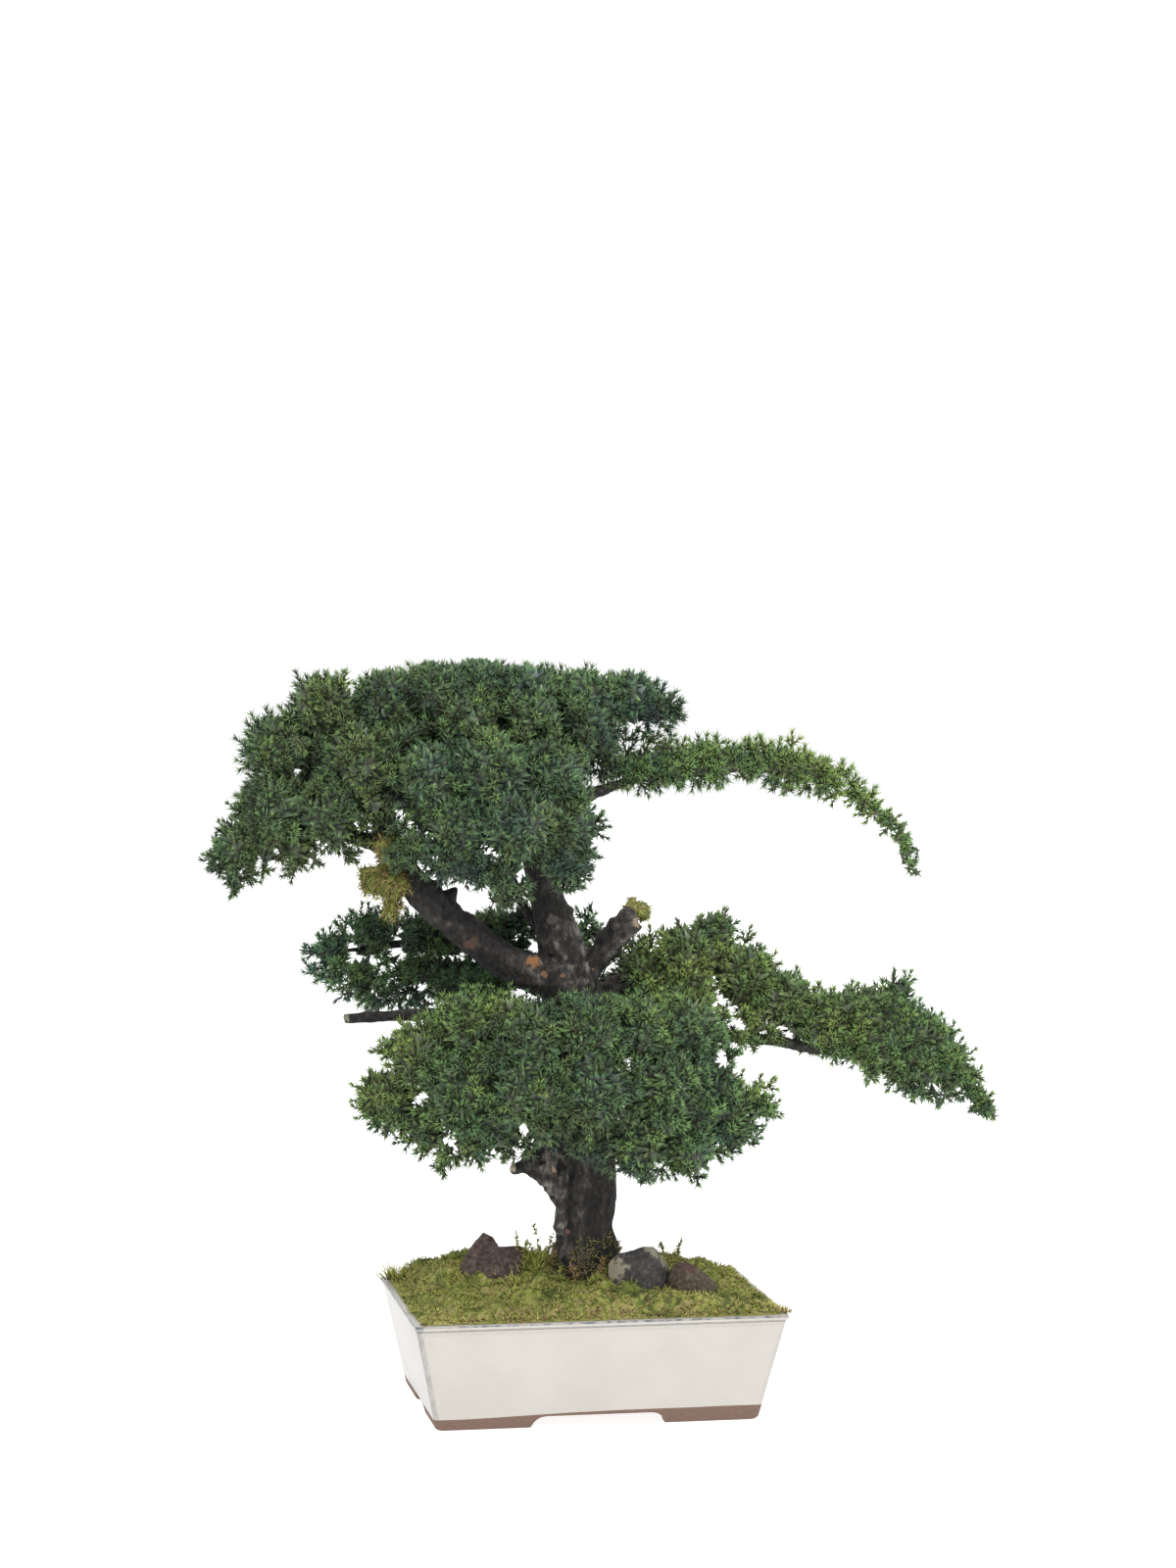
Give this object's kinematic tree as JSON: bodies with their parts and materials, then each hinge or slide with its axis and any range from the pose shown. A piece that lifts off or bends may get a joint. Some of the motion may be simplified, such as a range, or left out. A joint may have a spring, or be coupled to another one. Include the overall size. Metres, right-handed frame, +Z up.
{
  "type": "juniper bonsai",
  "caption": "Juniper bonsai with a leaning trunk, clouded needle pads and two long drooping arms, planted with moss and rocks in a rectangular glazed tray pot on corner feet.",
  "frame": {"origin": "middle of the whole footprint, needle tips included, on the surface that the pot stands on", "axes": "+Z up, +Y towards the back, +X to the viewer's right, along the long drooping arms"},
  "size_m": [0.6848, 0.2498, 0.6208],
  "materials": {
    "glaze": "satin",
    "screen": "matte",
    "soil": "matte",
    "moss": "matte",
    "rock_red": "matte",
    "rock_grey": "matte",
    "rock_brown": "matte",
    "bark": "matte",
    "needles": "matte"
  },
  "bodies": {
    "root": {"pot": "glaze", "drain_screen_left": "screen", "drain_screen_right": "screen", "soil": "soil", "moss_bed": "moss", "rock_left": "rock_red", "rock_grey": "rock_grey", "rock_small": "rock_brown", "trunk": "bark", "moss_left_limb": "moss", "moss_right_stub": "moss", "foliage_crown_left": "needles", "foliage_crown_top": "needles", "foliage_crown_front": "needles", "foliage_crown_back": "needles", "foliage_upper_right": "needles", "foliage_back_left": "needles", "foliage_low_left": "needles", "foliage_low_front": "needles", "foliage_low_right": "needles", "foliage_low_back": "needles", "foliage_right_pad": "needles", "foliage_low_arm": "needles", "foliage_behind_stub": "needles"}
  },
  "joints": []
}
